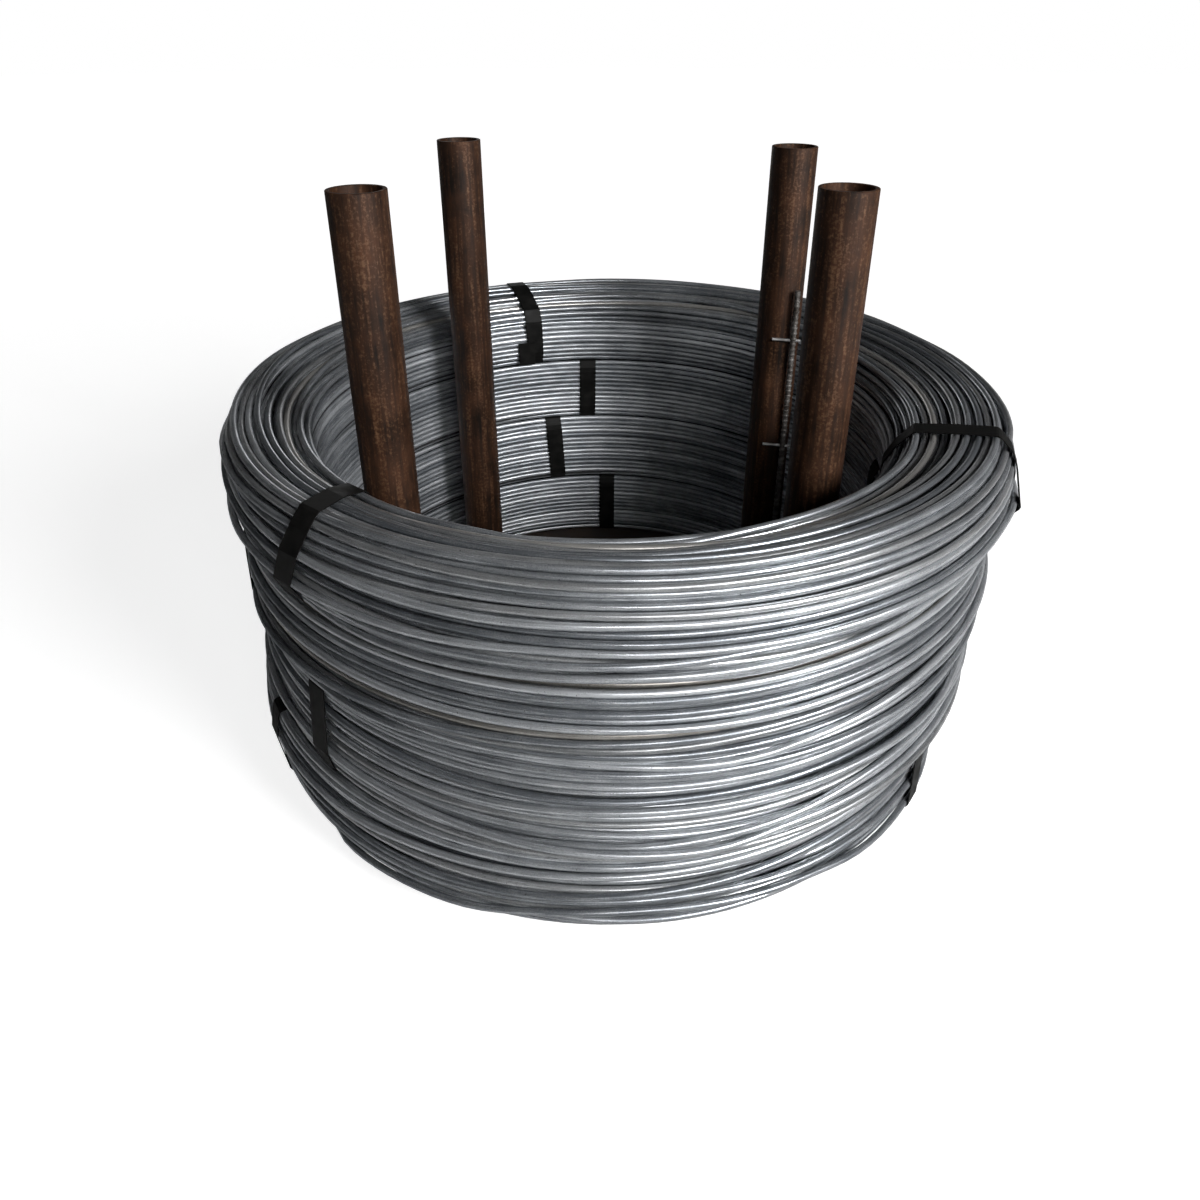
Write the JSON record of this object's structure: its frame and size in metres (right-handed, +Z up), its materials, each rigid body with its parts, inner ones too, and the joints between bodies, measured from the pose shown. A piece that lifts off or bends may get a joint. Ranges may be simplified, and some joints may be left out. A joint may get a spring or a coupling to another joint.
{
  "type": "stack of strapped steel wire coils on a post stand",
  "caption": "Strapped coils of bright round steel wire stacked round the upright pipe posts of a coil stand, with an open eye.",
  "frame": {"origin": "on the floor, at the middle of the base plate and of the coils' eye", "axes": "+Z up along the eye's axis; the picture's camera looks along +Y with +X to its right"},
  "size_m": [0.6828, 0.6834, 0.51],
  "materials": {
    "wire": "bright zinc-grey drawn wire",
    "strapping": "black lacquered steel strap",
    "post_pipe": "rusty brown mill-finish pipe",
    "base": "dark rusty plate",
    "rod": "dull grey ribbed steel bar"
  },
  "bodies": {
    "root": {"coil_bottom": "wire", "coil_lower_middle": "wire", "coil_upper_middle": "wire", "coil_top": "wire", "strap_bottom_back": "strapping", "strap_bottom_left": "strapping", "strap_bottom_right": "strapping", "strap_lower_middle_back": "strapping", "strap_lower_middle_left": "strapping", "strap_lower_middle_right": "strapping", "strap_upper_middle_back": "strapping", "strap_upper_middle_left": "strapping", "strap_upper_middle_right": "strapping", "strap_top_back": "strapping", "strap_top_left": "strapping", "strap_top_right": "strapping", "post_front_left": "post_pipe", "post_front_right": "post_pipe", "post_rear_left": "post_pipe", "post_rear_right": "post_pipe", "base_plate": "base", "ribbed_rod": "rod", "rod_pin_lower": "rod", "rod_pin_upper": "rod"}
  },
  "joints": []
}
